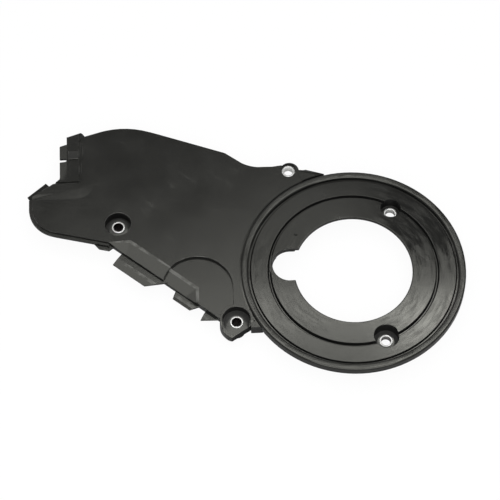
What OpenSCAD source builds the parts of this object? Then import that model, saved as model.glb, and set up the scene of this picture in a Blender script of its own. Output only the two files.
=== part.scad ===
// Lower timing cover: a moulded arm panel and dished crank ring, with five pressed-in metal sleeves.
// Origin on the crank axis at the mounting plane. +Z is the front face, +X points from the arm to the ring.

/* [Levels] */
// Height of the arm's flat face above the mounting plane
face_z = 17.5; // [16.5:0.1:20]
// Height of the ring's screw bosses above the mounting plane
ring_seat_z = 5.5; // [3:0.1:6.5]
// Thickness of the moulded walls and floors
wall = 2.5; // [2:0.1:3]
// Depth of the edge wall below the flat face
skirt_h = 5.6; // [4.5:0.1:7]

/* [Ring] */
// Outer radius of the ring
ring_r = 76.1; // [75:0.1:79]
// Height of the rim above the flat face
rim_h = 1.5; // [0.8:0.1:3]
// Width of the rim's bead
rim_w = 4.8; // [4:0.1:6]
// Depth of the ring's edge wall below the rim's top
rim_skirt_h = 6.1; // [5.5:0.1:8]
// Drop from the rim's top to the outer annulus
dish_drop = 1.5; // [1.2:0.1:2.5]
// Width of the groove at the rim's foot
rim_groove_w = 1.8; // [1:0.1:2.4]
// Depth of the groove at the rim's foot
rim_groove_d = 1.5; // [0.6:0.1:1.6]
// Radius of the crank opening
opening_r = 40; // [36:0.1:42]
// Thickness of the inner annulus
opening_wall = 2.5; // [2:0.1:3]
// Middle radius of the groove between the two annuli
groove_r = 56.9; // [56:0.1:59]
// Width of that groove
groove_w = 2.2; // [1.6:0.1:3]
// Depth of that groove below the outer annulus
groove_d = 2; // [0.8:0.1:2.2]
// Width of the crease around the rim
crease_w = 0.9; // [0.6:0.1:2]
// Depth of that crease
crease_d = 1.2; // [0.3:0.1:1.5]

/* [Keyhole notch] */
// Width of the notch
notch_w = 24; // [16:0.1:26]
// Reach of the notch's round end from the crank axis
notch_reach = 54.6; // [48:0.1:55]
// Height of the notch's middle line above the crank axis
notch_y = 5.5; // [0:0.1:8]
// Depth of the edge rib around the notch
notch_rib_h = 1.5; // [0.5:0.1:3]

/* [Arm outline] */
// Distance from the crank axis to the end of the arm
arm_reach = 217.2; // [205:0.1:225]
// Height of the end lobe's upper corner
lobe_top = 67.6; // [64:0.1:70]
// Height at which the end lobe's sides would meet
lobe_low = 42.4; // [38:0.1:44]
// Radius of the end lobe
lobe_r = 20; // [10:0.5:24]
// Distance from the crank axis to the elbow of the lower edge
elbow_x = 164.8; // [160:0.1:170]
// Height of the elbow of the lower edge
elbow_y = 29; // [25:0.1:31]
// Distance to the crown of the upper edge
crown_x = 152.8; // [145:0.1:158]
// Height at which the upper edge's sides would meet
crown_y = 123; // [120:0.1:130]
// Radius of the crown
crown_r = 55; // [30:1:60]
// Distance to the shoulder of the upper edge
shoulder_x = 83; // [81:0.1:88]
// Height of the shoulder
shoulder_y = 96.3; // [95:0.1:98]
// Distance to the dip between the shoulder and the ear
dip_x = 67; // [65:0.1:69]
// Height of that dip
dip_y = 84; // [82.5:0.1:85.5]
// Distance to the web between the ear and the ring
web_x = 27.5; // [24:0.1:30]
// Height of that web
web_y = 79.5; // [78:0.1:82]

/* [Interlock pad] */
// Distance to the pad's outer edge
pad_x = 198; // [194:0.1:202]
// Set-back of the upper part of that edge
pad_step_in = 5; // [2.5:0.1:8]
// Height of that step
pad_step_y = 108.4; // [104:0.1:110]
// Height of the pad's upper edge
pad_top = 114.6; // [113:0.1:117]
// Rise of the pad above the flat face
pad_rise = 0.2; // [0.1:0.1:1]
// Width of the ramp up to the pad
ramp_w = 7; // [4:0.1:9]
// Height of the slot in the pad's edge
slot_y = 95.8; // [90:0.1:100]
// Width of that slot
slot_w = 2.6; // [2:0.1:5]
// Length of that slot
slot_l = 5; // [3:0.1:7]
// Width of the seat groove beside the pad
seat_w = 1.2; // [0.8:0.1:2]
// Depth of that groove
seat_d = 1.1; // [0.5:0.1:1.6]
// Height of the catch on the pad
catch_h = 1.1; // [0.5:0.1:2]

/* [Lower edge] */
// Width of the slope along the lower edge
bevel_w = 9.2; // [6:0.1:11]
// Fall of that slope at the edge
bevel_drop = 2; // [1:0.1:2.6]
// Radius of the half-round pocket
pocket_r = 24.1; // [20:0.1:25]
// Distance from the crank axis to the pocket's middle
pocket_x = 106.2; // [104:0.1:109]
// Distance of the pocket's middle below the crank axis
pocket_y = 9; // [7:0.1:11]
// Depth of the pocket below the flat face
pocket_d = 2.4; // [1.2:0.1:3]
// Depth of the edge wall below the pocket's floor
pocket_skirt_h = 5; // [4.5:0.1:6]
// Width of the lip around the end lobe
lip_w = 2.2; // [1:0.1:3]
// Drop from the flat face to that lip
lip_drop = 1.2; // [0.8:0.1:2]
// Thickness of the lip and the edge tabs
tab_t = 1.8; // [1.5:0.1:2.5]
// Reach of the long tab
long_tab_w = 10.2; // [7:0.1:13]
// Reach of the low tab under the pocket
low_tab_w = 5.6; // [4:0.1:8]
// Reach of the short tabs
short_tab_w = 4.8; // [2.5:0.1:6]

/* [Sleeves] */
// Outer diameter of the metal sleeves
sleeve_od = 9; // [8.5:0.1:9.6]
// Bore of the metal sleeves, for an M6 screw
sleeve_id = 6.6; // [6.2:0.1:7]
// Clearance around a sleeve in its bore
sleeve_gap = 0.05; // [0.02:0.01:0.1]
// Chamfer on the sleeves' edges
sleeve_chamfer = 0.3; // [0.1:0.05:0.5]
// Length of the left and lower sleeves
arm_sleeve_l = 13; // [11:0.1:13.5]
// Length of the ring's sleeves
ring_sleeve_l = 5; // [4:0.1:6]
// Length of the ear's sleeve
ear_sleeve_l = 5.5; // [4.5:0.1:6.5]
// How far the arm's sleeves stand above their pocket floors
arm_stand = 1.4; // [0.6:0.1:3.5]
// How far the ring's sleeves stand above their pocket floors
ring_stand = 1.5; // [0.6:0.1:2]
// Depth of the ear's sleeve below the flat face
ear_spot = 1; // [0.5:0.1:2]

/* [Sleeve places] */
// Distance from the crank axis to the left sleeve
left_x = 158.4; // [156:0.1:161]
// Height of the left sleeve above the crank axis
left_y = 43; // [42:0.1:46]
// Distance from the crank axis to the lower sleeve
lower_x = 80.7; // [79.5:0.1:82]
// Distance of the lower sleeve below the crank axis
lower_y = 33.8; // [33:0.1:35]
// Distance from the crank axis to the ear's sleeve
ear_x = 39.6; // [37:0.1:42]
// Height of the ear's sleeve above the crank axis
ear_y = 80; // [79:0.1:82]
// Pitch radius of the ring's two sleeves
pitch_r = 54.5; // [53.5:0.1:56]
// Angle of the ring's upper sleeve
upper_a = 58; // [50:0.5:66]
// Angle of the ring's lower sleeve
lower_a = -70.3; // [-78:0.1:-62]
// Radius of the left sleeve's pocket
left_pocket_r = 8.9; // [7.5:0.1:10]
// Radius of the lower sleeve's pocket
lower_pocket_r = 9.4; // [8.5:0.1:10]
// Radius of the ring's upper sleeve pocket
upper_pocket_r = 7; // [6.8:0.1:9]
// Radius of the ring's lower sleeve pocket
ring_pocket_r = 8.4; // [7.5:0.1:9]

/* [Hidden] */
$fn = 96;
cover_colour = [0.19, 0.19, 0.18];
metal_colour = [0.85, 0.85, 0.83];
far = 400;
over = 1;
arc_step = 6;

skirt_z = face_z - skirt_h;
plate_z = face_z - wall;
rim_z = face_z + rim_h;
dish_z = rim_z - dish_drop;
pad_z = face_z + pad_rise;
pocket_z = face_z - pocket_d;
pocket_skirt_z = pocket_z - pocket_skirt_h;
lip_z = face_z - lip_drop - tab_t;
pad_step_x = pad_x - pad_step_in;
arm_floor_z = arm_sleeve_l - arm_stand;
ring_floor_z = ring_seat_z + ring_sleeve_l - ring_stand;
bore_r = sleeve_od / 2 + sleeve_gap;

// Outline: slope of the lobe's upper edge and the radii of the small corners
upper_edge_a = 33;
lobe_top_r = 1.5;
elbow_r = 6;
web_r = 3;
dip_r = 26;
shoulder_r = 3;
pad_foot_r = 5;
pad_step_r = 1;
// Short slope that ends the one in the pocket
pocket_end_a = -90;
pocket_end_run = 8;
// Pad: round corner and its place, tongue width, upper edge, drop of the outer edge, catch
pad_corner_r = 5;
pad_corner_in = [11.4, -3.5];
pad_tongue_w = 13.6;
pad_top_l = 12.8;
pad_edge_drop = 0.9;
pad_l = 60;
seat_below = 3;
catch_l = 7;
catch_in = 1;
catch_w = 7;
// Tabs: places along the lower edge from the elbow, at the root and at the outer edge
long_tab = [11, 38.5, 50];
low_tab = [57, 59, 73.5, 78];
fin = [82.5, 84, 95];
fin_w = 7.4;
elbow_tab = [14, 6, 1, 5];
elbow_tab_lift = 1.3;
top_tab = [-2.2, 14.4, 15.2];
top_tab_w = [3.1, 5.1];
pad_tab = [10, 11, 13];
pad_tab_w = [0.6, 4, 3.2];
tab_fall = 0.9;
// Ring: roundings, inward fall of the rim, step up to the inner annulus, web beside the ear, moulding pip
rim_outer_round = 1.2;
rim_inner_round = 1.2;
rim_fall = 0.1;
groove_round = 0.3;
groove_draft = 0.2;
groove_side = 0.38;
inner_step = 0.5;
edge_round = 0.7;
ear_web_rise = 0.8;
ear_web_w = [6, 7];
pip_r = 47.4;
pip_a = 141.8;
pip_d = 2.4;
pip_h = 0.9;
// Ear: wall around its sleeve and its set-off, ledge of the spot face, its left foot and the slope from it
ear_wall = 2.1;
ear_off = [0.7, -0.5];
ear_ledge = 1;
ear_proud = 0.2;
ear_side = 3.6;
ear_foot_l = 4.5;
ear_top = [4.6, 4.4];
// Cups: walls around the pocket and the sleeve, cone around a sleeve, gap around the left pocket's cone
cup_wall = 1.9;
foot_wall = 1.25;
cone_foot = 0.6;
cone_land = 0.7;
cone_short = 0.5;
gap_w = 1.6;
gap_d = 1.6;
// Lower cup: straight near side, lug, floor, clearance to the lower edge, and the web to the ring
near_a = -59;
near_reach = 7.4;
lug_a = -120;
lug_r = 3.6;
lug_reach = 7.8;
lug_h = 3;
lower_floor_t = 6.1;
cup_edge = [0.4, -1];
cup_tuck = 3.2;
lower_web_l = 6.2;
lower_web_t = 4.1;
lower_web_drop = 1;
// Ribs and gussets behind the panel
rib_t = 2;
rib_rise = 1;
rib_angles = [-14, 72, 168];
gusset_angles = [-60, 30, 120, 210];
gusset_z = 2;

left_at = [-left_x, left_y];
lower_at = [-lower_x, -lower_y];
ear_at = [-ear_x, ear_y];
upper_at = pitch_r * [cos(upper_a), sin(upper_a)];
lower_ring_at = pitch_r * [cos(lower_a), sin(lower_a)];
pocket_at = [-pocket_x, -pocket_y];
elbow = [-elbow_x, elbow_y];
ear_r = sleeve_od / 2 + ear_wall;
foot_r = bore_r + foot_wall;
ear_top_z = face_z - ear_spot;
gap_z = arm_floor_z - gap_d;

// The lower edge runs straight from the elbow to the lower sleeve's cup.
lower_edge_end = lower_at - [lower_pocket_r + cup_edge.x, cup_edge.y];
lower_edge_dir = unit(lower_edge_end - elbow);
lower_edge_l = norm(lower_edge_end - elbow);
lower_edge_a = atan2(lower_edge_dir.y, lower_edge_dir.x);
lobe_low_corner = [-arm_reach, lobe_low];
lobe_top_corner = [-arm_reach, lobe_top];
lobe_edge_dir = unit(elbow - lobe_low_corner);
lobe_edge_a = atan2(lobe_edge_dir.y, lobe_edge_dir.x);
pad_foot = [-pad_x, lobe_top + (arm_reach - pad_x) * tan(upper_edge_a)];
pad_corner = pad_foot + pad_corner_in;

// Corners of the arm's outline, counter-clockwise, each with its fillet radius. Three lie under the ring.
arm_corners = [
    [lobe_top_corner.x, lobe_top_corner.y, lobe_top_r],
    [lobe_low_corner.x, lobe_low_corner.y, lobe_r],
    [elbow.x, elbow.y, elbow_r],
    [lower_edge_end.x, lower_edge_end.y, 0],
    [-0.8 * ring_r, lower_edge_end.y - cup_tuck, 0],
    [-0.2 * ring_r, 0.4 * ring_r, 0],
    [-0.1 * ring_r, 0.96 * ring_r, 0],
    [-web_x, web_y, web_r],
    [-ear_x, ear_y + ear_ledge, 0],
    [-ear_x - ear_top.x, ear_y + ear_top.y, 0],
    [-ear_x - ear_r - ear_foot_l, ear_y + ear_side, web_r],
    [-dip_x, dip_y, dip_r],
    [-shoulder_x, shoulder_y, shoulder_r],
    [-crown_x, crown_y, crown_r],
    [-pad_step_x + pad_top_l, pad_top, 0],
    [-pad_step_x, pad_top, 0],
    [-pad_step_x, pad_step_y, 0],
    [-pad_x, pad_step_y - pad_step_r, pad_step_r],
    [pad_foot.x, pad_foot.y, pad_foot_r]
];

function unit(v) = v / norm(v);
function left_of(v) = [-v.y, v.x];
function at_xy(c) = [c[0], c[1]];
function around(list, i) = list[(i + len(list)) % len(list)];

// Points of an arc.
function arc(centre, r, from, to, steps = 4) = [
    for (k = [0 : steps])
        let (a = from + (to - from) * k / steps)
        centre + r * [cos(a), sin(a)]
];

// Points of the round corner at q, between the sides from p and to s.
function fillet(p, q, s, r) =
    let (
        u = unit(q - p),
        v = unit(s - q),
        bend = acos(max(-1, min(1, u * v))),
        side = sign(cross(u, v)),
        start = q - u * r * tan(bend / 2),
        centre = start + left_of(u) * r * side,
        from = atan2(start.y - centre.y, start.x - centre.x)
    )
    r < 0.05 || bend < 1 ? [q] : arc(centre, r, from, from + side * bend, max(2, ceil(bend / arc_step)));

// A closed path with every corner rounded by its own radius.
function rounded(corners) = [
    for (i = [0 : len(corners) - 1])
        let (p = around(corners, i - 1), q = corners[i], s = around(corners, i + 1))
        each fillet(at_xy(p), at_xy(q), at_xy(s), q[2])
];

// The same corners moved inwards by d, or outwards where d is negative.
function inset(corners, d) = [
    for (i = [0 : len(corners) - 1])
        let (
            q = at_xy(corners[i]),
            u = unit(q - at_xy(around(corners, i - 1))),
            v = unit(at_xy(around(corners, i + 1)) - q),
            moved = q + d * (left_of(u) + left_of(v)) / (1 + left_of(u) * left_of(v)),
            r = corners[i][2]
        )
        [moved.x, moved.y, r == 0 ? 0 : max(0, r - sign(cross(u, v)) * d)]
];

// A solid between two heights on a flat outline.
module slab(z0, z1) {
    translate([0, 0, z0]) linear_extrude(z1 - z0) children();
}

// A round post or cutter between two heights.
module post(at, r, z0, z1) {
    translate([at.x, at.y, z0]) cylinder(r = r, h = z1 - z0);
}

module arm_outline(d = 0) {
    polygon(rounded(inset(arm_corners, d)));
}

// Coordinates along the lower edge: X runs from the elbow, Y points out of the cover.
module on_lower_edge() {
    translate([elbow.x, elbow.y, 0]) rotate([0, 0, lower_edge_a]) mirror([0, 1, 0]) children();
}

// Everything above a plane that falls outwards from a ridge line, in the -Y direction before its turn.
module above_slope(ridge, turn, fall, run, z = face_z) {
    translate([ridge.x, ridge.y, z])
        rotate([0, 0, turn])
            rotate([atan2(fall, run), 0, 0])
                translate([-far, -far, 0])
                    cube([2 * far, far, far]);
}

// The sloped band along the lower edge: it follows the edge up to the elbow and fades out along the lobe.
module edge_slope() {
    ridge = elbow + lower_edge_dir * long_tab[0] + left_of(lower_edge_dir) * bevel_w;
    intersection() {
        above_slope(ridge, lower_edge_a, bevel_drop, bevel_w);
        above_slope([0, ridge.y], 0, bevel_drop, bevel_w);
    }
}

module pocket_outline(d = 0) {
    translate(pocket_at) circle(r = pocket_r - d);
    translate(pocket_at + [-pocket_r, -2 * pocket_r]) square([2 * pocket_r - d, 2 * pocket_r]);
}

// The slope's lower stretch, inside the pocket, which ends at a short slope across it.
module pocket_slope() {
    ridge = elbow + left_of(lower_edge_dir) * bevel_w;
    intersection() {
        above_slope(ridge, lower_edge_a, bevel_drop, bevel_w, pocket_z);
        above_slope(pocket_at, pocket_end_a, bevel_drop, pocket_end_run, pocket_z);
    }
}

// Ramp and raised field of the interlock pad, with a round corner.
module pad_field() {
    base_z = face_z - wall / 2;
    foot = pad_corner_r + ramp_w;
    // Profile of a ramp, seen along it
    module ramp(side) {
        crest = side * pad_corner_r;
        polygon([[0, base_z], [side * foot, base_z], [side * foot, face_z], [crest, pad_z], [0, pad_z]]);
    }
    intersection() {
        slab(base_z, pad_z) arm_outline();
        translate(pad_corner) union() {
            rotate_extrude() ramp(1);
            translate([0, pad_l]) rotate([90, 0, 0]) linear_extrude(pad_l) ramp(1);
            translate([-pad_l, 0]) rotate([90, 0, 90]) linear_extrude(pad_l) ramp(-1);
            slab(base_z, pad_z) translate([-pad_l, 0]) square(pad_l);
        }
    }
}

// Cuts that turn the pad into a thin tongue with a slot, a seat groove and a sloped outer edge.
module pad_cuts() {
    seat_at = [-pad_x + pad_tongue_w, pad_foot.y - seat_below];
    slab(skirt_z - over, pad_z - wall) translate([-far, pad_foot.y]) square([far + seat_at.x, far]);
    slab(pad_z - seat_d, pad_z + over) {
        translate([-arm_reach, seat_at.y]) square([arm_reach + seat_at.x + seat_w, seat_w]);
        translate(seat_at) square([seat_w, pad_l]);
        translate([seat_at.x, slot_y]) square([2 * seat_w, pad_step_y - slot_y]);
    }
    slab(-over, pad_z + over) translate([-pad_x, slot_y]) {
        translate([-over, -slot_w / 2]) square([slot_l + over - slot_w / 2, slot_w]);
        translate([slot_l - slot_w / 2, 0]) circle(d = slot_w);
    }
    intersection() {
        above_slope([-pad_step_x, 0], -90, pad_edge_drop, pad_x - pad_step_x, pad_z);
        slab(0, pad_z + over) translate([-far, pad_foot.y]) square([far, pad_step_y - pad_foot.y]);
    }
}

// Wedge-shaped catch on the pad.
module pad_catch() {
    translate([-pad_step_x + catch_in, slot_y, pad_z - over / 2]) rotate([90, 0, 90])
        linear_extrude(catch_w)
            polygon([[0, 0], [catch_l, 0], [catch_l, over / 2], [0, over / 2 + catch_h]]);
}

// A tab below the lower edge, with its outer half sloped down. Its outline is drawn along the edge.
module edge_tab(outline, z0, reach) {
    z1 = z0 + tab_t;
    on_lower_edge() intersection() {
        slab(z0, z1) polygon(outline);
        rotate([90, 0, 90]) linear_extrude(lower_edge_l)
            polygon([[-wall, z0], [reach, z0], [reach, z1 - tab_fall], [reach / 2, z1], [-wall, z1]]);
    }
}

// Lip around the end lobe, and the tabs that slide under the neighbouring cover.
module lip_and_tabs() {
    root = -wall / 2;
    slab(lip_z, lip_z + tab_t) intersection() {
        difference() {
            arm_outline(-lip_w);
            arm_outline(wall / 2);
        }
        translate([-far, lobe_top - far - lip_w]) square([far - elbow_x, far]);
    }
    edge_tab([[long_tab[0], root], [long_tab[0], long_tab_w], [long_tab[1], long_tab_w], [long_tab[2], root]],
        skirt_z, long_tab_w);
    edge_tab([[low_tab[0], root], [low_tab[1], low_tab_w], [low_tab[2], low_tab_w], [low_tab[3], root]],
        pocket_skirt_z, low_tab_w);
    edge_tab([[fin[0], root], [fin[1], fin_w], [fin[2], root]], pocket_skirt_z, fin_w);
    // Tab beside the elbow
    slab(skirt_z + elbow_tab_lift, skirt_z + elbow_tab_lift + tab_t) translate(elbow) rotate(lobe_edge_a)
        polygon([[-elbow_tab[0], -root], [-elbow_tab[1], -short_tab_w], [elbow_tab[2], -short_tab_w],
            [elbow_tab[3], 0], [elbow_tab[3], -root]]);
    // Tab on the lobe's upper edge
    slab(plate_z - tab_t, plate_z) translate(lobe_top_corner) rotate(upper_edge_a)
        polygon([[top_tab[0], root], [top_tab[2], root], [top_tab[1], top_tab_w[1]],
            [top_tab[0], top_tab_w[0]]]);
    // Tab on the pad's upper edge
    slab(pad_z - wall - tab_t / 2, pad_z - wall + tab_t / 2) translate([-pad_step_x, pad_top])
        polygon([[0, -wall], [pad_tab[2], -wall], [pad_tab[2], 0], [pad_tab[1], pad_tab_w[2]],
            [pad_tab[0], pad_tab_w[1]], [0, pad_tab_w[0]]]);
}

// Arm panel with its edge wall, hollow behind.
module arm() {
    difference() {
        union() {
            slab(skirt_z, face_z) arm_outline();
            slab(pocket_skirt_z, face_z) intersection() {
                arm_outline();
                pocket_outline(-wall);
            }
            pad_field();
            pad_catch();
            // Raised web between the ear and the ring
            slab(plate_z, face_z + ear_web_rise) intersection() {
                polygon([[-web_x - ear_web_w.x, web_y - ear_web_rise], [-web_x, web_y], [0, ring_r - wall],
                    [-web_x - wall, ring_r - ear_web_w.y]]);
                arm_outline();
            }
        }
        // Hollow behind the panel
        difference() {
            slab(skirt_z - over, plate_z) difference() {
                arm_outline(wall);
                pocket_outline(-wall);
            }
            translate([0, 0, -wall]) edge_slope();
        }
        // Hollow behind the pocket
        difference() {
            slab(pocket_skirt_z - over, pocket_z - wall) intersection() {
                arm_outline(wall);
                pocket_outline();
            }
            translate([0, 0, -wall]) pocket_slope();
        }
        edge_slope();
        slab(pocket_z, pad_z + over) pocket_outline();
        intersection() {
            pocket_slope();
            slab(0, face_z) pocket_outline();
        }
        pad_cuts();
        // Room for the ring, and the crease around its rim
        post([0, 0], ring_r - wall / 2, -over, rim_z + over);
        post([0, 0], ring_r + crease_w, face_z - crease_d, rim_z + over);
    }
}

// Half section of the ring, turned about the crank axis.
module ring_section() {
    skirt_foot = [ring_r - wall, rim_z - rim_skirt_h];
    rim_in = ring_r - rim_w;
    foot_in = rim_in - rim_groove_w;
    foot_z = dish_z - rim_groove_d;
    groove_in = groove_r - groove_w / 2;
    groove_out = groove_r + groove_w / 2;
    groove_z = dish_z - groove_d;
    inner_z = dish_z + inner_step;
    polygon(concat(
        [[ring_r, skirt_foot.y]],
        arc([ring_r - rim_outer_round, rim_z - rim_outer_round], rim_outer_round, 0, 90),
        arc([rim_in + rim_inner_round, rim_z - rim_fall - rim_inner_round], rim_inner_round, 90, 180),
        [[rim_in - groove_draft, foot_z], [foot_in + groove_side * rim_groove_w, foot_z]],
        arc([foot_in - groove_round, dish_z - groove_round], groove_round, 0, 90, 3),
        arc([groove_out + groove_round, dish_z - groove_round], groove_round, 90, 180, 3),
        [[groove_out - groove_side * groove_w, groove_z], [groove_in + groove_side * groove_w, groove_z]],
        arc([groove_in - groove_round, inner_z - groove_round], groove_round, 0, 90, 3),
        arc([opening_r + edge_round, inner_z - edge_round], edge_round, 90, 180, 3),
        [[opening_r, inner_z - opening_wall], [groove_in - wall, inner_z - opening_wall]],
        [[groove_in - wall, groove_z - wall], [groove_out + wall, groove_z - wall]],
        [[groove_out + wall, dish_z - wall], [foot_in - wall, dish_z - wall]],
        [[foot_in - wall, foot_z - wall], [skirt_foot.x, foot_z - wall], skirt_foot]
    ));
}

module notch_outline(d = 0) {
    r = notch_w / 2 - d;
    translate([-notch_reach + notch_w / 2, notch_y]) {
        circle(r = r);
        translate([0, -r]) square([notch_reach - notch_w / 2, 2 * r]);
    }
}

module ring() {
    rotate_extrude() ring_section();
    // Rib around the keyhole notch
    slab(dish_z + inner_step - opening_wall - notch_rib_h, dish_z) difference() {
        intersection() {
            notch_outline(-wall);
            circle(r = groove_r);
        }
        circle(r = opening_r + wall);
    }
    // Moulding pip on the inner annulus
    post(pip_r * [cos(pip_a), sin(pip_a)], pip_d / 2, dish_z, dish_z + inner_step + pip_h);
}

// Cup below a pocket of radius r, with its floor at floor_z and a boss around the sleeve down to base_z.
module cup(at, r, base_z, floor_z, top_z) {
    post(at, r + cup_wall, floor_z - wall, top_z);
    post(at, foot_r, base_z, floor_z);
}

// Gussets between a boss and the cup of radius r above it.
module gussets(at, r, top_z) {
    boss_in = bore_r + foot_wall / 2;
    translate([at.x, at.y, 0]) for (a = gusset_angles)
        rotate([90, 0, a]) translate([0, 0, -rib_t / 2]) linear_extrude(rib_t)
            polygon([[boss_in, gusset_z], [foot_r, gusset_z], [r - over, top_z], [r - over, top_z + over],
                [boss_in, top_z + over]]);
}

// Cone on a pocket's floor, around a sleeve that stands above it.
module floor_cone(at, r, floor_z, stand) {
    translate([at.x, at.y, floor_z])
        cylinder(r1 = r - cone_foot, r2 = bore_r + cone_land, h = stand - cone_short);
}

// Pocket above a cup, down to its floor, and the bore for the sleeve.
module cup_pocket(at, r, floor_z, stand) {
    difference() {
        post(at, r, floor_z, rim_z + over);
        floor_cone(at, r, floor_z, stand);
    }
    post(at, bore_r, -over, rim_z + over);
}

// Cup of the lower sleeve, cut away in a slope towards the outside and straight on its near side.
module lower_cup() {
    base_z = arm_floor_z - lower_floor_t;
    lower_web_y = lower_y + lower_web_l;
    lower_web_z = arm_floor_z - lower_web_t;
    lower_web_end = sqrt(pow(ring_r - wall / 2, 2) - pow(lower_web_y, 2));
    difference() {
        post(lower_at, lower_pocket_r + cup_wall, base_z, face_z);
        above_slope(lower_at - [0, over], 0, face_z - arm_floor_z, lower_pocket_r - over);
        translate([lower_at.x, lower_at.y, 0]) rotate(near_a)
            translate([near_reach, -far / 2, 0]) cube([far, far, far]);
    }
    post(lower_at, foot_r, 0, arm_floor_z);
    // Lug beside the cup
    translate([lower_at.x, lower_at.y, base_z]) rotate(lug_a) {
        translate([0, -lug_r, 0]) cube([lug_reach, 2 * lug_r, lug_h]);
        translate([lug_reach, 0, 0]) cylinder(r = lug_r, h = lug_h);
    }
    // Web from the cup to the ring
    translate([lower_at.x + lower_pocket_r, -lower_web_y, lower_web_z])
        cube([lower_x - lower_pocket_r - lower_web_end, lower_web_l, face_z - lower_web_drop - lower_web_z]);
}

// The open near side of the lower cup's pocket.
module lower_mouth() {
    difference() {
        slab(arm_floor_z, rim_z + over) translate(lower_at - lower_pocket_r * [1, 2])
            square(2 * lower_pocket_r);
        floor_cone(lower_at, lower_pocket_r, arm_floor_z, arm_stand);
    }
}

// Ribs behind the panel, from the left sleeve's cup to the edge wall and the ring.
module ribs() {
    intersection() {
        slab(skirt_z + rib_rise, plate_z + wall / 2) difference() {
            arm_outline(wall / 2);
            circle(r = ring_r - wall / 2);
            translate(left_at) circle(r = left_pocket_r + cup_wall / 2);
            pocket_outline(-wall / 2);
        }
        translate([left_at.x, left_at.y, 0]) for (a = rib_angles)
            rotate(a) translate([0, -rib_t / 2, 0]) cube([far, rib_t, face_z]);
    }
}

module cover() {
    color(cover_colour) difference() {
        union() {
            arm();
            ring();
            lip_and_tabs();
            ribs();
            post(ear_at + ear_off, ear_r, ear_top_z - ear_sleeve_l, face_z);
            cup(left_at, left_pocket_r, 0, gap_z, plate_z + wall / 2);
            gussets(left_at, left_pocket_r + cup_wall, gap_z - wall);
            lower_cup();
            cup(upper_at, upper_pocket_r, ring_seat_z, ring_floor_z, dish_z - groove_d);
            cup(lower_ring_at, ring_pocket_r, ring_seat_z, ring_floor_z, dish_z - groove_d);
        }
        cup_pocket(left_at, left_pocket_r, arm_floor_z, arm_stand);
        slab(gap_z, arm_floor_z + over) translate(left_at) difference() {
            circle(r = left_pocket_r);
            circle(r = left_pocket_r - gap_w);
        }
        cup_pocket(lower_at, lower_pocket_r, arm_floor_z, arm_stand);
        cup_pocket(upper_at, upper_pocket_r, ring_floor_z, ring_stand);
        cup_pocket(lower_ring_at, ring_pocket_r, ring_floor_z, ring_stand);
        lower_mouth();
        post(ear_at, bore_r, -over, rim_z + over);
        post(ear_at, bore_r + ear_ledge, ear_top_z - ear_proud, rim_z + over);
        slab(-over, rim_z + over) notch_outline();
    }
}

// Plain metal sleeve with broken edges.
module sleeve(at, z0, l) {
    r0 = sleeve_id / 2;
    r1 = sleeve_od / 2;
    c = sleeve_chamfer;
    color(metal_colour) translate([at.x, at.y, z0]) rotate_extrude()
        polygon([
            [r0 + c, 0], [r1 - c, 0], [r1, c], [r1, l - c],
            [r1 - c, l], [r0 + c, l], [r0, l - c], [r0, c]
        ]);
}

module left_sleeve() {
    sleeve(left_at, 0, arm_sleeve_l);
}

module lower_sleeve() {
    sleeve(lower_at, 0, arm_sleeve_l);
}

module ear_sleeve() {
    sleeve(ear_at, ear_top_z - ear_sleeve_l, ear_sleeve_l);
}

module upper_ring_sleeve() {
    sleeve(upper_at, ring_seat_z, ring_sleeve_l);
}

module lower_ring_sleeve() {
    sleeve(lower_ring_at, ring_seat_z, ring_sleeve_l);
}

cover();
left_sleeve();
lower_sleeve();
ear_sleeve();
upper_ring_sleeve();
lower_ring_sleeve();
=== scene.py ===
"""Timing cover: a moulded black cover with five bright metal sleeves, dressed around its CAD frame."""

import math

import bmesh
import bpy
from mathutils import Matrix, Vector


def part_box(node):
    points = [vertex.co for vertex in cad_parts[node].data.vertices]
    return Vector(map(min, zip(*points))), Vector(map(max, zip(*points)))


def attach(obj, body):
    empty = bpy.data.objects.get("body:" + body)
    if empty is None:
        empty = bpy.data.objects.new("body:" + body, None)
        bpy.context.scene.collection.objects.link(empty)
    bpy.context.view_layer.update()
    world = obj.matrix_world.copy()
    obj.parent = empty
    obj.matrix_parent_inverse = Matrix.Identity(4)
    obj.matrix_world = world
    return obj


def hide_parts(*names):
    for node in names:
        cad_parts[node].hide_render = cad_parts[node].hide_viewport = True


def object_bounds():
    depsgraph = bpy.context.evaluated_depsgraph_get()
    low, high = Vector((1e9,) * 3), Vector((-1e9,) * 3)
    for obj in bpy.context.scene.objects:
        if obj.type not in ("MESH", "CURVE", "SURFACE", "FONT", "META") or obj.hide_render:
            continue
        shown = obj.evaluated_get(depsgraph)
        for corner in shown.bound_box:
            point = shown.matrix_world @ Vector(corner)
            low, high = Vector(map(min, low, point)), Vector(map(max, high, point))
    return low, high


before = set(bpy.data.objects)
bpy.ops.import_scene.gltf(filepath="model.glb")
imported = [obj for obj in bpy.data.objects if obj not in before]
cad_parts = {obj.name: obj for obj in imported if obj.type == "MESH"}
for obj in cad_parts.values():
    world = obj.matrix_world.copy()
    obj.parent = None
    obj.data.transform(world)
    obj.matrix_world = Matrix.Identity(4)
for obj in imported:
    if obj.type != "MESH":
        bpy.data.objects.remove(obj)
CAD_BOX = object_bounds()

bl_info = {
    "name": "Timing Cover",
    "version": (1, 0, 0),
    "blender": (4, 5, 0),
    "location": "View3D > Sidebar > Timing Cover",
    "description": "Dresses a moulded timing cover and its metal sleeves, and sets up a white studio",
    "category": "Object",
}

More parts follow.
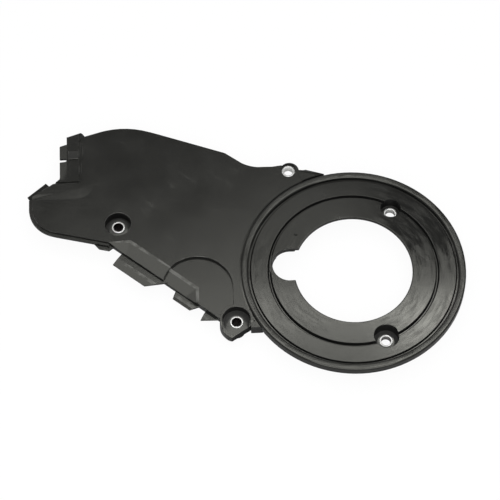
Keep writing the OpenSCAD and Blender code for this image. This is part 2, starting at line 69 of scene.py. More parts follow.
MM = 0.001
BODY = "root"
COVER_NODE = "cover"
EAR_NODE = "ear_sleeve"
SLEEVE_NODES = ("left_sleeve", "lower_sleeve", EAR_NODE, "upper_ring_sleeve", "lower_ring_sleeve")
# How much of each sleeve's bore is painted pale as if lit. The rest of a bore is painted dark as shade.
LIT_BORE_SHARES = {EAR_NODE: 1.0, "upper_ring_sleeve": 1.0, "lower_ring_sleeve": 0.5}
SLEEVE_MIDDLES = {node: sum(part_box(node), Vector()).xy / 2 for node in SLEEVE_NODES}

# The photograph's frame, in pixels, and the point of it where the crank axis meets the rim's plane.
FRAME_PX = 500
CRANK_PX = (353.6, 268.3)
FOCAL_PX = 2146
SENSOR = 36.0
RIM_Z = 19.0 * MM

# Edges that meet more flatly than this are smooth, and so are the ring's own roundings. On top of the panel
# only the facets of a round slope are.
FLAT_EDGE = math.radians(6)
RAMP_EDGE = math.radians(1.5)
UPWARD = 0.9
RING_EDGE = math.radians(30)
RING_R = 76.6 * MM
CREASE_R = (76.4 * MM, 77.6 * MM)
# Edges that meet more steeply than this are rounded, unless they lie close to a sleeve, in the crease around
# the ring, or beside a short edge or a sliver. Long flat ridges are rounded too, right of the pad.
ROUND_EDGE = math.radians(35)
RIDGE_EDGE = math.radians(20)
RIDGE_LENGTH = 5.0 * MM
PAD_RIGHT = -180.0 * MM
SLEEVE_CLEAR = 7.0 * MM
EAR_CLEAR = 10.0 * MM
SHORT_EDGE = 0.66 * MM
SLIVER = 0.1 * MM
# The walls of the pockets around the sleeves are matt, with a lowered gloss as painted shade. Their floors
# and the pad's catch get a painted highlight.
POCKET_R = 10.5 * MM
FLOOR_R = 9.0 * MM
FLOOR_TOP = 14.0 * MM
CATCH_MIDDLE = Vector((-188.5, 99.3)) * MM
CATCH_FOOT = 17.8 * MM
CATCH_HIGHLIGHT_SHARE = 0.6
STEEP = 0.6
# The tab at the arm's end slopes down from its root.
TAB_MIDDLE = Vector((-214.3, 74.4)) * MM
TAB_FOOT = 14.0 * MM
# How the copy of the CAD mesh is merged: points and empty faces up to these sizes, and faces this flat.
MERGE_GAP = 0.001 * MM
EMPTY_FACE = 0.01 * MM
COPLANAR = math.radians(0.3)
# How finely the roundings are cut, how sharp a sleeve's edge is, and how far flats win over roundings in the
# shading.
RIDGE_CUTS = 3
EDGE_CUTS = 2
SLEEVE_CUTS = 3
SLEEVE_CREASE = math.radians(40)
FLAT_WEIGHT = 80

# Scales of the patterns in the plastic. Smudges are stretched and lie aslant. Smears are long around the ring
# and narrow across it.
BLOTCHES = 45.0
WAVES = 38.0
RUBBED_SPOTS = 160.0
SMUDGES = (60.0, 190.0, 60.0)
SMUDGE_TURN = 0.6
SMEARS = 1.6
SMEAR_AROUND = 3.0
SMEAR_ACROSS = 260.0
# Where the noise of a pattern starts to show, and where it is full.
BLOTCH_SPAN = (0.3, 0.7)
RUB_SPAN = (0.35, 0.65)
SMUDGE_SPAN = (0.58, 0.72)
SMUDGE_AREA = (0.5, 0.62)
# What each pattern adds to the share of the pale colour, which is wear and random tone and also a painted
# highlight, and to the roughness.
BLOTCH_TONE = 0.03
RUB_AND_HIGHLIGHT_TONE = 0.7
SMUDGE_TONE = 0.06
SMEAR_TONE = 0.12
BLOTCH_MATT = 0.1
GRAIN_MATT = 0.03
SMUDGE_MATT = 0.05
SMEAR_MATT = 0.35
# Dull patches on the metal, and how far a short bore's wall stops mirroring and shows its painted pale light.
PATCHES = 420.0
PATCH_SPAN = (0.35, 0.7)
PATCH_MATT = 0.2
LIT_BORE_DIFFUSE = 0.85

# Reflections from up to this distance show the floor's shading, and from twice as far its white.
NEAR_FLOOR = 60.0 * MM
# The world is white up to the first height over the horizon and dim from the second.
HORIZON = (0.02, 0.2)
WHITE = (1.0, 1.0, 1.0, 1.0)
LAMPS = ("overhead", "strip", "accent", "glow", "side", "front")
TILTED_LAMP = "front"
CLIP_SHARE = 100


class Value:
    """A number in a node tree. Arithmetic on it adds Math nodes."""

    def __init__(self, graph, socket):
        self.graph = graph
        self.socket = socket

    def math(self, operation, *others):
        """The result of one Math node on this number and the others."""
        inputs = dict(enumerate((self, *others)))
        node = self.graph.add("ShaderNodeMath", {"operation": operation}, inputs)
        return Value(self.graph, node.outputs[0])

    def __add__(self, other):
        return self.math("ADD", other)

    def __mul__(self, other):
        return self.math("MULTIPLY", other)

    def __sub__(self, other):
        return self.math("SUBTRACT", other)

    def __truediv__(self, other):
        return self.math("DIVIDE", other)

    def __rsub__(self, other):
        return (self * -1) + other

    __radd__ = __add__
    __rmul__ = __mul__

    def step(self, low, high):
        """A smooth step from 0 at low to 1 at high."""
        node = self.graph.add(
            "ShaderNodeMapRange",
            {"interpolation_type": "SMOOTHSTEP", "clamp": True},
            {"Value": self, "From Min": low, "From Max": high, "To Min": 0.0, "To Max": 1.0},
        )
        return Value(self.graph, node.outputs[0])


class Graph:
    """A node tree that is written as expressions."""

    def __init__(self, tree):
        self.tree = tree
        tree.nodes.clear()

    def add(self, kind, settings=None, sockets=None):
        """A node of any kind. Its settings are set first, then the values or links of its sockets."""
        node = self.tree.nodes.new(kind)
        for name, setting in (settings or {}).items():
            setattr(node, name, setting)
        for key, given in (sockets or {}).items():
            socket = node.inputs[key]
            if isinstance(given, Value):
                self.tree.links.new(given.socket, socket)
            elif isinstance(given, bpy.types.NodeSocket):
                self.tree.links.new(given, socket)
            else:
                socket.default_value = given
        return node

    def attribute(self, name):
        """A number that the mesh carries."""
        return Value(self, self.add("ShaderNodeAttribute", {"attribute_name": name}).outputs["Fac"])

    def place(self):
        """The Object coordinates of the surface."""
        return self.add("ShaderNodeTexCoord").outputs["Object"]

    def axes(self, vector):
        """The three numbers of a vector."""
        node = self.add("ShaderNodeSeparateXYZ", None, {0: vector})
        return [Value(self, socket) for socket in node.outputs]

    def scaled(self, vector, factors, turn):
        """A vector turned about Z and scaled on each axis."""
        sockets = {"Vector": vector, "Angle": turn}
        turned = self.add("ShaderNodeVectorRotate", {"rotation_type": "Z_AXIS"}, sockets)
        sockets = {0: turned.outputs[0], 1: factors}
        return self.add("ShaderNodeVectorMath", {"operation": "MULTIPLY"}, sockets).outputs[0]

    def noise(self, vector, scale, detail=2.0, roughness=0.5):
        """Soft noise around one half."""
        sockets = {"Vector": vector, "Scale": scale, "Detail": detail, "Roughness": roughness}
        return Value(self, self.add("ShaderNodeTexNoise", None, sockets).outputs[0])

    def mix(self, factor, first, second):
        """A colour between two others."""
        sockets = {0: factor, 6: first, 7: second}
        return self.add("ShaderNodeMix", {"data_type": "RGBA"}, sockets).outputs[2]

    def bump(self, height, distance, normal=None):
        """A surface normal shaken by a height."""
        sockets = {"Height": height, "Distance": distance, "Strength": 1.0}
        if normal is not None:
            sockets["Normal"] = normal
        return self.add("ShaderNodeBump", None, sockets).outputs[0]

    def finish(self, shader, kind="ShaderNodeOutputMaterial"):
        """Sends a shader to the material's or world's output."""
        self.add(kind, None, {"Surface": shader})


def new_material(name):
    """An empty node material and its graph."""
    material = bpy.data.materials.new(name)
    material.use_nodes = True
    return material, Graph(material.node_tree)


def colour(rgb):
    """A colour with its alpha."""
    return (*rgb, 1.0)


def moulded_plastic(look):
    """Satin black plastic with a fine grain, a smoother and slightly wavy ring, and rubbed edges. The ridges,
    pocket floors and catch get a painted highlight, and the pocket walls painted shade.
    """
    material, g = new_material("moulded_black_plastic")
    place = g.place()
    x, y, _ = g.axes(place)
    radius = (x * x + y * y).math("SQRT")
    ring = 1 - radius.step(*CREASE_R)

    grain = g.noise(place, 1.0 / look.grain_size)
    blotch = g.noise(place, BLOTCHES, detail=3.0, roughness=0.55)
    wave = g.noise(place, WAVES, detail=1.0)
    # Rubbed tone on the roundings: wear on the moulded edges, and a painted highlight on the panel's ridges.
    rub_and_highlight = g.attribute("worn") * g.noise(place, RUBBED_SPOTS, detail=3.0).step(*RUB_SPAN)

    # Smears run around the ring, and soft smudges lie on the panel.
    around = g.add(
        "ShaderNodeCombineXYZ",
        None,
        {0: x / radius * SMEAR_AROUND, 1: y / radius * SMEAR_AROUND, 2: radius * SMEAR_ACROSS},
    )
    smear = (g.noise(around.outputs[0], SMEARS, detail=3.0, roughness=0.6) - 0.5) * ring
    aslant = g.noise(g.scaled(place, SMUDGES, SMUDGE_TURN), 1.0)
    smudge = aslant.step(*SMUDGE_SPAN) * blotch.step(*SMUDGE_AREA)

    tone = blotch.step(*BLOTCH_SPAN) * BLOTCH_TONE + rub_and_highlight * RUB_AND_HIGHLIGHT_TONE + smudge * SMUDGE_TONE
    # The pocket floors and the catch are lightened as a painted highlight, broken up by the blotches.
    tone = tone + smear * SMEAR_TONE + g.attribute("scuffed") * (blotch + 0.5) * look.painted_highlight_level
    base = g.mix(tone, colour(look.colour), colour(look.worn_and_highlight_colour))
    roughness = look.roughness + ring * (look.ring_roughness - look.roughness)
    roughness = roughness + (blotch - 0.5) * BLOTCH_MATT + (grain - 0.5) * GRAIN_MATT
    roughness = roughness + smudge * SMUDGE_MATT + smear * SMEAR_MATT
    normal = g.bump(wave * ring, look.ring_wave)
    satin = g.add(
        "ShaderNodeBsdfPrincipled",
        None,
        {
            "Base Color": base,
            "Roughness": roughness,
            "Normal": g.bump(grain, look.grain_depth, normal),
            "IOR": 1.5,
            "Specular Tint": colour(look.sheen),
        },
    )
    # The pocket walls blend into a matt plastic. Its roughness is a finish, and its lowered gloss paints
    # shade into the walls.
    matt = g.add(
        "ShaderNodeBsdfPrincipled",
        None,
        {"Base Color": base, "Roughness": look.pocket_roughness, "Specular IOR Level": look.pocket_shade_gloss},
    )
    sockets = {0: g.attribute("pocket"), 1: satin.outputs[0], 2: matt.outputs[0]}
    g.finish(g.add("ShaderNodeMixShader", None, sockets).outputs[0])
    return material


def turned_metal(look):
    """Bright plated steel with fine turning marks around each sleeve's own axis. Its bores carry painted
    shade, dark in the deep ones, and painted pale light in the short ones.
    """
    material, g = new_material("turned_bright_metal")
    place = g.place()
    _, _, z = g.axes(place)
    from_axis = g.attribute("from_axis")
    marks = ((from_axis + z) * (2 * math.pi / look.mark_pitch)).math("SINE")
    patch = g.noise(place, PATCHES, detail=3.0)
    face = g.mix(patch.step(*PATCH_SPAN), colour(look.colour), colour(look.dull_colour))
    # The bores are painted: dark as shade in the deep ones, pale as lit in the short ones.
    clean = g.attribute("clean")
    bore = g.mix(clean, colour(look.shaded_bore_colour), colour(look.lit_bore_colour))
    outside = from_axis.step(look.bore_r, look.bore_r + look.edge)
    shader = g.add(
        "ShaderNodeBsdfPrincipled",
        None,
        {
            "Base Color": g.mix(outside, bore, face),
            "Metallic": 1 - clean * (1 - outside) * LIT_BORE_DIFFUSE,
            "Roughness": (patch - 0.5) * PATCH_MATT + look.roughness,
            "Normal": g.bump(marks, look.mark_depth),
        },
    )
    g.finish(shader.outputs[0])
    return material


def white_floor(look):
    """A white floor that the camera sees as background, with a share of its own shading for the shadow.

    Reflections show the same white, except close under the object, where they show its shadow.
    """
    material, g = new_material("white_floor")
    path = g.add("ShaderNodeLightPath").outputs
    far_enough = Value(g, path["Ray Length"]).step(NEAR_FLOOR, 2 * NEAR_FLOOR)
    mirrored = Value(g, path["Is Glossy Ray"]).math("MAXIMUM", Value(g, path["Is Transmission Ray"]))
    seen = Value(g, path["Is Camera Ray"]).math("MAXIMUM", mirrored * far_enough)
    shaded = g.mix(Value(g, path["Is Camera Ray"]), colour(look.floor_colour), WHITE)
    diffuse = g.add("ShaderNodeBsdfDiffuse", None, {"Color": shaded})
    white = g.add("ShaderNodeEmission", None, {"Color": WHITE, "Strength": 1.0})
    sockets = {0: seen * (1 - look.shadow_share), 1: diffuse.outputs[0], 2: white.outputs[0]}
    g.finish(g.add("ShaderNodeMixShader", None, sockets).outputs[0])
    return material


def studio_world(look):
    """White along the horizon and dim overhead."""
    world = bpy.data.worlds.new("studio")
    world.use_nodes = True
    g = Graph(world.node_tree)
    _, _, height = g.axes(g.add("ShaderNodeTexCoord").outputs["Generated"])
    tone = g.mix(height.step(*HORIZON), WHITE, colour(look.overhead_colour))
    sky = g.add("ShaderNodeBackground", None, {"Color": tone, "Strength": 1.0})
    g.finish(sky.outputs[0], "ShaderNodeOutputWorld")
    bpy.context.scene.world = world


def deselect():
    """Leaves nothing selected."""
    bpy.ops.object.select_all(action="DESELECT")


def make_active(piece):
    """Selects one piece alone."""
    deselect()
    piece.select_set(True)
    bpy.context.view_layer.objects.active = piece


def apply_modifier(piece, name, kind, **settings):
    """Adds a modifier with its settings and applies it."""
    modifier = piece.modifiers.new(name, kind)
    for key, setting in settings.items():
        setattr(modifier, key, setting)
    make_active(piece)
    bpy.ops.object.modifier_apply(modifier=name)


def open_edit_mode(piece):
    """Starts editing the edges of one piece, with all of it selected."""
    make_active(piece)
    bpy.ops.object.mode_set(mode="EDIT")
    bpy.ops.mesh.select_mode(type="EDGE")
    bpy.ops.mesh.select_all(action="SELECT")


def close_edit_mode():
    """Goes back to object mode."""
    bpy.ops.object.mode_set(mode="OBJECT")


def select_edges(piece, test):
    """Selects the edges of the edited piece that pass a test."""
    mesh = bmesh.from_edit_mesh(piece.data)
    for edge in mesh.edges:
        edge.select_set(False)
    for edge in mesh.edges:
        if test(edge):
            edge.select_set(True)
    bmesh.update_edit_mesh(piece.data)


def copy_of_node(node, name):
    """A new piece with a merged copy of a CAD node's mesh, creased where two of its faces meet."""
    piece = bpy.data.objects.new(name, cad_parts[node].data.copy())
    bpy.context.scene.collection.objects.link(piece)
    piece.data.materials.clear()
    make_active(piece)
    bpy.ops.mesh.customdata_custom_splitnormals_clear()
    open_edit_mode(piece)
    bpy.ops.mesh.select_all(action="DESELECT")
    bpy.ops.mesh.select_non_manifold()
    bpy.ops.mesh.mark_sharp()
    bpy.ops.mesh.select_all(action="SELECT")
    bpy.ops.mesh.remove_doubles(threshold=MERGE_GAP)
    bpy.ops.mesh.dissolve_degenerate(threshold=EMPTY_FACE)
    bpy.ops.mesh.dissolve_limited(angle_limit=COPLANAR, delimit={"SHARP"})
    close_edit_mode()
    return piece


def edge_place(edge):
    """The middle of an edge, seen from above."""
    return ((edge.verts[0].co + edge.verts[1].co) / 2).xy


def is_soft_edge(edge):
    """True for an edge that should shade smoothly."""
    angle = edge.calc_face_angle(0.0)
    if edge_place(edge).length < RING_R:
        return angle < RING_EDGE
    on_top = all(face.normal.z > UPWARD for face in edge.link_faces)
    return angle < (RAMP_EDGE if on_top else FLAT_EDGE)


def is_tab_edge(edge):
    """True for the upper outer edge of the tab at the arm's end."""
    return (edge_place(edge) - TAB_MIDDLE).length < MM and edge.verts[0].co.z > TAB_FOOT


def is_ridge_edge(edge):
    """True for the long flat ridge of a slope in the panel."""
    if edge.smooth or not edge.is_convex or edge.calc_length() < RIDGE_LENGTH:
        return False
    level = abs(edge.verts[0].co.z - edge.verts[1].co.z) < SHORT_EDGE
    place = edge_place(edge)
    on_panel = place.length > RING_R and place.x > PAD_RIGHT
    return level and on_panel and FLAT_EDGE < edge.calc_face_angle(0.0) < RIDGE_EDGE


def width(face):
    """The area of a face over its longest side."""
    return face.calc_area() / max(edge.calc_length() for edge in face.edges)


def is_moulded_edge(edge):
    """True for an outer edge that the mould rounds."""
    if not edge.is_convex or edge.calc_face_angle(0.0) < ROUND_EDGE:
        return False
    if min(width(face) for face in edge.link_faces) < SLIVER:
        return False
    shortest = min(near.calc_length() for vertex in edge.verts for near in vertex.link_edges)
    place = edge_place(edge)
    in_crease = CREASE_R[0] < place.length < CREASE_R[1]
    near_sleeve = any((place - middle).length < SLEEVE_CLEAR for middle in SLEEVE_MIDDLES.values())
    near_ear = (place - SLEEVE_MIDDLES[EAR_NODE]).length < EAR_CLEAR
    return shortest > SHORT_EDGE and not (in_crease or near_sleeve or near_ear)


def belongs(piece, slot, *nodes):
    """Ties a piece to the frame's body and hides the nodes that it stands for. The slot is not used."""
    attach(piece, BODY)
    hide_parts(*nodes)


class CoverLook(bpy.types.PropertyGroup):
    """Sizes and colours of the moulded cover."""

    edge_radius: bpy.props.FloatProperty(
        name="Edge radius", description="Rounding of the moulded edges", default=0.3 * MM, unit="LENGTH")
    ridge_width: bpy.props.FloatProperty(
        name="Ridge width", description="Rounding of the panel's flat ridges", default=1.1 * MM,
        unit="LENGTH")
    colour: bpy.props.FloatVectorProperty(
        name="Colour", description="Black of the plastic", default=(0.006, 0.006, 0.0059), subtype="COLOR")
    # Lighter grey for wear and random tone, also painted as a highlight on the ridges, pocket floors and
    # catch.
    worn_and_highlight_colour: bpy.props.FloatVectorProperty(
        name="Worn colour", description="Grey of rubbed edges and scuffs", default=(0.1, 0.1, 0.096),
        subtype="COLOR")
    sheen: bpy.props.FloatVectorProperty(
        name="Sheen", description="Tint of the plastic's reflections", default=(1.0, 1.0, 0.91),
        subtype="COLOR")
    roughness: bpy.props.FloatProperty(
        name="Roughness", description="Roughness of the panel", default=0.2, subtype="FACTOR")
    ring_roughness: bpy.props.FloatProperty(
        name="Ring roughness", description="Roughness of the ring's face", default=0.1, subtype="FACTOR")
    ring_wave: bpy.props.FloatProperty(
        name="Ring wave", description="Depth of the soft waves in the ring's face", default=0.05 * MM,
        unit="LENGTH")
    grain_size: bpy.props.FloatProperty(
        name="Grain size", description="Size of the moulded grain", default=0.5 * MM, unit="LENGTH")
    grain_depth: bpy.props.FloatProperty(
        name="Grain depth", description="Depth of the moulded grain", default=0.01 * MM, unit="LENGTH")
    pocket_roughness: bpy.props.FloatProperty(
        name="Pocket roughness", description="Roughness of the pockets' walls", default=0.5,
        subtype="FACTOR")
    # A lowered gloss that darkens the pockets' walls as painted shade.
    pocket_shade_gloss: bpy.props.FloatProperty(
        name="Pocket gloss", description="Specular level of the pockets' walls", default=0.15,
        subtype="FACTOR")
    # A painted highlight that lightens the pocket floors and the catch.
    painted_highlight_level: bpy.props.FloatProperty(
        name="Scuffing", description="Scuffing of the pockets' floors and the catch", default=0.35,
        subtype="FACTOR")
    tab_droop: bpy.props.FloatProperty(
        name="Tab droop", description="How far the tab at the arm's end slopes down", default=0.8 * MM,
        unit="LENGTH")


class SleeveLook(bpy.types.PropertyGroup):
    """Sizes and colours of the metal sleeves."""

    facets: bpy.props.IntProperty(
        name="Facets", description="Sides of a sleeve's circle", default=96)
    bore_r: bpy.props.FloatProperty(
        name="Bore radius", description="Radius of a sleeve's bore", default=3.3 * MM, unit="LENGTH")
    edge: bpy.props.FloatProperty(
        name="Edge", description="Rounding of the sleeves' edges", default=0.28 * MM, unit="LENGTH")
    colour: bpy.props.FloatVectorProperty(
        name="Colour", description="Bright metal", default=(0.64, 0.64, 0.625), subtype="COLOR")
    dull_colour: bpy.props.FloatVectorProperty(
        name="Dull colour", description="Duller patches of the metal", default=(0.46, 0.46, 0.45),
        subtype="COLOR")
    # Painted shade: the dark colour of the deep bores.
    shaded_bore_colour: bpy.props.FloatVectorProperty(
        name="Bore colour", description="Stained metal inside the deep bores", default=(0.11, 0.086, 0.083),
        subtype="COLOR")
    # Painted light: the pale colour of the short bores, which stands in for the bright floor seen through
    # them.
    lit_bore_colour: bpy.props.FloatVectorProperty(
        name="Clean colour", description="Clean metal inside the short bores", default=(0.9, 0.9, 0.88),
        subtype="COLOR")
    roughness: bpy.props.FloatProperty(
        name="Roughness", description="Roughness of the metal", default=0.3, subtype="FACTOR")
    mark_pitch: bpy.props.FloatProperty(
        name="Mark pitch", description="Distance between turning marks", default=0.16 * MM, unit="LENGTH")
    mark_depth: bpy.props.FloatProperty(
        name="Mark depth", description="Depth of the turning marks", default=0.003 * MM, unit="LENGTH")


class StageLook(bpy.types.PropertyGroup):
    """The white studio, its lamps and the camera."""

    floor_size: bpy.props.FloatProperty(
        name="Floor size", description="Width of the floor", default=40.0, unit="LENGTH")
    floor_gap: bpy.props.FloatProperty(
        name="Floor gap", description="Gap that keeps the floor clear of the sleeves' ends",
        default=0.05 * MM, unit="LENGTH")
    floor_colour: bpy.props.FloatVectorProperty(
        name="Floor colour", description="Colour that the floor throws back on the object",
        default=(0.35, 0.35, 0.35), subtype="COLOR")
    shadow_share: bpy.props.FloatProperty(
        name="Shadow share", description="How much of its own shading the floor shows", default=0.06,
        subtype="FACTOR")
    overhead_colour: bpy.props.FloatVectorProperty(
        name="Overhead colour", description="Dim grey above the object", default=(0.27, 0.27, 0.27),
        subtype="COLOR")
    overhead_place: bpy.props.FloatVectorProperty(
        name="Overhead place", description="Middle of the overhead softbox", default=(0.0, 0.03, 1.2),
        subtype="TRANSLATION", unit="LENGTH")
    overhead_size: bpy.props.FloatVectorProperty(
        name="Overhead size", description="Width and depth of the overhead softbox", default=(1.2, 1.02),
        size=2, unit="LENGTH")
    overhead_power: bpy.props.FloatProperty(
        name="Overhead power", description="Power of the overhead softbox", default=7.7, unit="POWER")
    strip_place: bpy.props.FloatVectorProperty(
        name="Strip place", description="Middle of the strip light at the back", default=(0.12, 0.565, 1.2),
        subtype="TRANSLATION", unit="LENGTH")
    strip_size: bpy.props.FloatVectorProperty(
        name="Strip size", description="Width and depth of the strip light", default=(0.9, 0.09), size=2,
        unit="LENGTH")
    strip_power: bpy.props.FloatProperty(
        name="Strip power", description="Power of the strip light", default=1.1, unit="POWER")
    accent_place: bpy.props.FloatVectorProperty(
        name="Accent place", description="Middle of the small lamp in front of the strip light",
        default=(0.185, 0.54, 1.19), subtype="TRANSLATION", unit="LENGTH")
    accent_size: bpy.props.FloatVectorProperty(
        name="Accent size", description="Width and depth of the small lamp", default=(0.1, 0.07), size=2,
        unit="LENGTH")
    accent_power: bpy.props.FloatProperty(
        name="Accent power", description="Power of the small lamp", default=0.1, unit="POWER")
    glow_place: bpy.props.FloatVectorProperty(
        name="Glow place", description="Middle of the dim lamp behind the strip light",
        default=(0.035, 0.7, 1.2), subtype="TRANSLATION", unit="LENGTH")
    glow_size: bpy.props.FloatVectorProperty(
        name="Glow size", description="Width and depth of the dim lamp", default=(0.18, 0.14), size=2,
        unit="LENGTH")
    glow_power: bpy.props.FloatProperty(
        name="Glow power", description="Power of the dim lamp", default=0.07, unit="POWER")
    side_place: bpy.props.FloatVectorProperty(
        name="Side place", description="Middle of the softbox at the upper left", default=(-0.9, 0.6, 1.2),
        subtype="TRANSLATION", unit="LENGTH")
    side_size: bpy.props.FloatVectorProperty(
        name="Side size", description="Width and depth of the softbox at the upper left",
        default=(0.7, 0.6), size=2, unit="LENGTH")
    side_power: bpy.props.FloatProperty(
        name="Side power", description="Power of the softbox at the upper left", default=1.9, unit="POWER")
    front_place: bpy.props.FloatVectorProperty(
        name="Front place", description="Middle of the softbox at the front", default=(0.0, -0.87, 0.97),
        subtype="TRANSLATION", unit="LENGTH")
    front_size: bpy.props.FloatVectorProperty(
        name="Front size", description="Width and height of the softbox at the front", default=(1.2, 0.55),
        size=2, unit="LENGTH")
    front_power: bpy.props.FloatProperty(
        name="Front power", description="Power of the softbox at the front", default=8.3, unit="POWER")
    view_elevation: bpy.props.FloatProperty(
        name="View elevation", description="Height of the camera above the horizon",
        default=math.radians(61.15), subtype="ANGLE")
    view_azimuth: bpy.props.FloatProperty(
        name="View azimuth", description="Turn of the camera about the object", default=math.radians(-2.8),
        subtype="ANGLE")
    view_distance: bpy.props.FloatProperty(
        name="View distance", description="Distance from the camera to the crank axis", default=1.45,
        unit="LENGTH")


class TIMING_COVER_OT_cover(bpy.types.Operator):
    """Round the moulded edges of the cover and give it black plastic"""

    bl_idname = "timing_cover.cover"
    bl_label = "Moulded cover"

    def execute(self, context):
        look = context.scene.timing_cover_look
        piece = copy_of_node(COVER_NODE, "moulded_cover")
        # The roundings take the second of two stand-in materials, which tells where the rubbed tone goes:
        # wear on the moulded edges, and a painted highlight on the panel's ridges.
        for name in ("face", "edge"):
            piece.data.materials.append(bpy.data.materials.new(name))
        open_edit_mode(piece)
        bpy.ops.mesh.faces_shade_smooth()
        select_edges(piece, is_soft_edge)
        bpy.ops.mesh.mark_sharp(clear=True)
        select_edges(piece, is_tab_edge)
        bpy.ops.transform.translate(value=(0.0, 0.0, -look.tab_droop))
        select_edges(piece, is_ridge_edge)
        round_selected(look.ridge_width, RIDGE_CUTS)
        select_edges(piece, is_moulded_edge)
        round_selected(look.edge_radius, EDGE_CUTS)
        close_edit_mode()
        mark_rubbed_and_highlit_edges(piece)
        mark_pockets(piece)
        piece.data.materials.clear()
        piece.data.materials.append(moulded_plastic(look))
        apply_modifier(piece, "flats", "WEIGHTED_NORMAL", keep_sharp=True, weight=FLAT_WEIGHT)
        belongs(piece, "plastic", COVER_NODE)
        return {"FINISHED"}


def round_selected(radius, cuts):
    """Rounds the selected edges of the edited piece with the second of its materials."""
    bpy.ops.mesh.bevel(offset=radius, segments=cuts, affect="EDGES", clamp_overlap=False, material=1)


def mark_rubbed_and_highlit_edges(piece):
    """Marks the rounded edge faces, which carry the second material, for rubbed wear and a painted highlight
    on the ridges, and gives all faces the first.
    """
    mesh = piece.data
    worn = mesh.attributes.new("worn", "FLOAT", "FACE")
    for face in mesh.polygons:
        worn.data[face.index].value = float(face.material_index)
        face.material_index = 0


def mark_pockets(piece):
    """Marks the steep faces around the sunken sleeves, whose lowered gloss paints shade, and the floors below
    them and the catch, which get a painted highlight.
    """
    mesh = piece.data
    pocket = mesh.attributes.new("pocket", "FLOAT", "FACE")
    scuffed = mesh.attributes.new("scuffed", "FLOAT", "FACE")
    middles = [middle for node, middle in SLEEVE_MIDDLES.items() if node != EAR_NODE]
    for face in mesh.polygons:
        place = face.center.xy
        away = min((place - middle).length for middle in middles)
        # The steep faces around the sleeves get painted shade through a lowered gloss.
        pocket.data[face.index].value = float(away < POCKET_R and abs(face.normal.z) < STEEP)
        is_floor = away < FLOOR_R and face.center.z < FLOOR_TOP
        is_catch = (place - CATCH_MIDDLE).length < MM and face.center.z > CATCH_FOOT
        # The floors and the catch are lightened as a painted highlight.
        if face.normal.z > STEEP:
            scuffed.data[face.index].value = is_floor + is_catch * CATCH_HIGHLIGHT_SHARE


class TIMING_COVER_OT_sleeves(bpy.types.Operator):
    """Turn one sleeve, fit a copy of it in each boss and give them bright metal"""

    bl_idname = "timing_cover.sleeves"
    bl_label = "Metal sleeves"

    def execute(self, context):
        look = context.scene.timing_cover_sleeves
        low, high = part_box(SLEEVE_NODES[-1])
        pattern = turned_sleeve(look, (high.x - low.x) / 2, high.z - low.z)
        metal = turned_metal(look)
        for node in SLEEVE_NODES:
            fit_sleeve(pattern, node, metal)
        bpy.data.objects.remove(pattern)
        return {"FINISHED"}


def turned_sleeve(look, radius, length):
    """A sleeve on the origin: a circle drawn up to a tube, thickened and rounded at its edges."""
    deselect()
    bpy.ops.mesh.primitive_circle_add(vertices=look.facets, radius=radius)
    sleeve = bpy.context.active_object
    open_edit_mode(sleeve)
    bpy.ops.mesh.extrude_region_move(TRANSFORM_OT_translate={"value": (0.0, 0.0, length)})
    bpy.ops.mesh.select_all(action="SELECT")
    bpy.ops.mesh.normals_make_consistent(inside=False)
    close_edit_mode()
    wall = radius - look.bore_r
    apply_modifier(sleeve, "wall", "SOLIDIFY", thickness=wall, offset=-1.0, use_even_offset=True)
    apply_modifier(
        sleeve, "edges", "BEVEL", width=look.edge, segments=SLEEVE_CUTS, limit_method="ANGLE",
        angle_limit=SLEEVE_CREASE)
    from_axis = sleeve.data.attributes.new("from_axis", "FLOAT", "POINT")
    for vertex in sleeve.data.vertices:
        from_axis.data[vertex.index].value = vertex.co.xy.length
    make_active(sleeve)
    bpy.ops.object.shade_smooth_by_angle(angle=SLEEVE_CREASE)
    return sleeve


def fit_sleeve(pattern, node, metal):
    """A copy of the pattern with its own mesh, stretched to a node's length and set in its place."""
    low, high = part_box(node)
    piece = pattern.copy()
    piece.data = pattern.data.copy()
    piece.name = node + "_turned"
    bpy.context.scene.collection.objects.link(piece)
    length = max(vertex.co.z for vertex in piece.data.vertices)
    longer = (high.z - low.z) - length
    middle = (low + high) / 2
    for vertex in piece.data.vertices:
        if vertex.co.z > length / 2:
            vertex.co.z += longer
        vertex.co += Vector((middle.x, middle.y, low.z))
    # The short bores get painted pale light, the deep ones painted shade.
    clean = piece.data.attributes.new("clean", "FLOAT", "POINT")
    clean.data.foreach_set("value", [LIT_BORE_SHARES.get(node, 0.0)] * len(piece.data.vertices))
    piece.data.materials.append(metal)
    belongs(piece, "sleeve_metal", node)


class TIMING_COVER_OT_stage(bpy.types.Operator):
    """Set up the white floor, the softboxes and the camera"""

    bl_idname = "timing_cover.stage"
    bl_label = "White studio"

    def execute(self, context):
        look = context.scene.timing_cover_stage
        deselect()
        floor_z = CAD_BOX[0].z - look.floor_gap
        bpy.ops.mesh.primitive_plane_add(size=look.floor_size, location=(0.0, 0.0, floor_z))
        floor = context.active_object
        floor.name = "floor"
        floor.data.materials.append(white_floor(look))
        studio_world(look)
        for name in LAMPS:
            hang_softbox(look, name)
        place_camera(look)
        context.scene.view_settings.view_transform = "Standard"
        return {"FINISHED"}


def hang_softbox(look, name):
    """A softbox that faces down, or back towards the object if it is the tilted one."""
    place = getattr(look, name + "_place")
    size = getattr(look, name + "_size")
    data = bpy.data.lights.new(name, "AREA")
    data.shape = "RECTANGLE"
    data.size = size[0]
    data.size_y = size[1]
    data.energy = getattr(look, name + "_power")
    lamp = bpy.data.objects.new(name, data)
    bpy.context.scene.collection.objects.link(lamp)
    lamp.location = place
    if name == TILTED_LAMP:
        lamp.rotation_euler.x = math.atan2(-place.y, place.z)


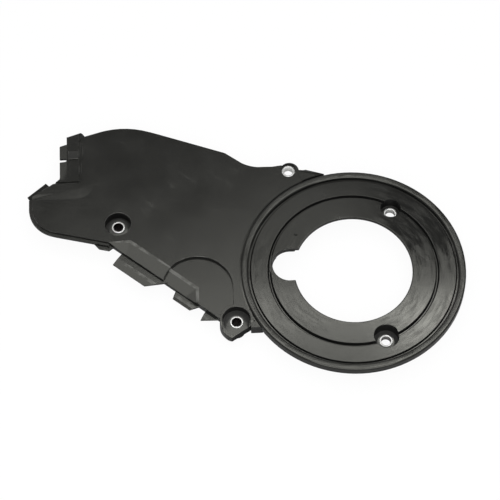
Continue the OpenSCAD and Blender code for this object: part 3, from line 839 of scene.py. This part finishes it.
def place_camera(look):
    """A camera at the photograph's angle, with the crank axis on its pixel."""
    turn = look.view_azimuth
    rise = look.view_elevation
    right = Vector((math.cos(turn), math.sin(turn), 0.0))
    back = Vector((math.sin(turn) * math.cos(rise), -math.cos(turn) * math.cos(rise), math.sin(rise)))
    up = back.cross(right)
    middle_px = FRAME_PX / 2
    across = (CRANK_PX[0] - middle_px) / FOCAL_PX
    upward = (middle_px - CRANK_PX[1]) / FOCAL_PX
    data = bpy.data.cameras.new("camera")
    data.sensor_width = SENSOR
    data.lens = FOCAL_PX / FRAME_PX * SENSOR
    data.clip_start = look.view_distance / CLIP_SHARE
    data.clip_end = look.view_distance * CLIP_SHARE
    camera = bpy.data.objects.new("camera", data)
    bpy.context.scene.collection.objects.link(camera)
    camera.matrix_world = Matrix((right, up, back)).transposed().to_4x4()
    camera.location = Vector((0.0, 0.0, RIM_Z)) - look.view_distance * (across * right + upward * up - back)
    bpy.context.scene.camera = camera


class TIMING_COVER_PT_panel(bpy.types.Panel):
    """Sidebar panel with the cover's settings"""

    bl_idname = "TIMING_COVER_PT_panel"
    bl_label = "Timing Cover"
    bl_space_type = "VIEW_3D"
    bl_region_type = "UI"
    bl_category = "Timing Cover"

    def draw(self, context):
        for operator, group in PANEL_ROWS:
            box = self.layout.box()
            box.operator(operator)
            settings = getattr(context.scene, group)
            for name in settings.__annotations__:
                box.prop(settings, name)


PANEL_ROWS = (
    ("timing_cover.cover", "timing_cover_look"),
    ("timing_cover.sleeves", "timing_cover_sleeves"),
    ("timing_cover.stage", "timing_cover_stage"),
)
GROUPS = {
    "timing_cover_look": CoverLook,
    "timing_cover_sleeves": SleeveLook,
    "timing_cover_stage": StageLook,
}
CLASSES = (
    CoverLook,
    SleeveLook,
    StageLook,
    TIMING_COVER_OT_cover,
    TIMING_COVER_OT_sleeves,
    TIMING_COVER_OT_stage,
    TIMING_COVER_PT_panel,
)


def register():
    """Adds the classes, and their settings to the scene."""
    for cls in CLASSES:
        bpy.utils.register_class(cls)
    for name, group in GROUPS.items():
        setattr(bpy.types.Scene, name, bpy.props.PointerProperty(type=group))


def unregister():
    """Takes the settings and the classes out again."""
    for name in GROUPS:
        delattr(bpy.types.Scene, name)
    for cls in reversed(CLASSES):
        bpy.utils.unregister_class(cls)


def main():
    """Sets up the studio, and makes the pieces."""
    register()
    bpy.ops.timing_cover.stage()
    bpy.ops.timing_cover.cover()
    bpy.ops.timing_cover.sleeves()


if __name__ == "__main__":
    main()
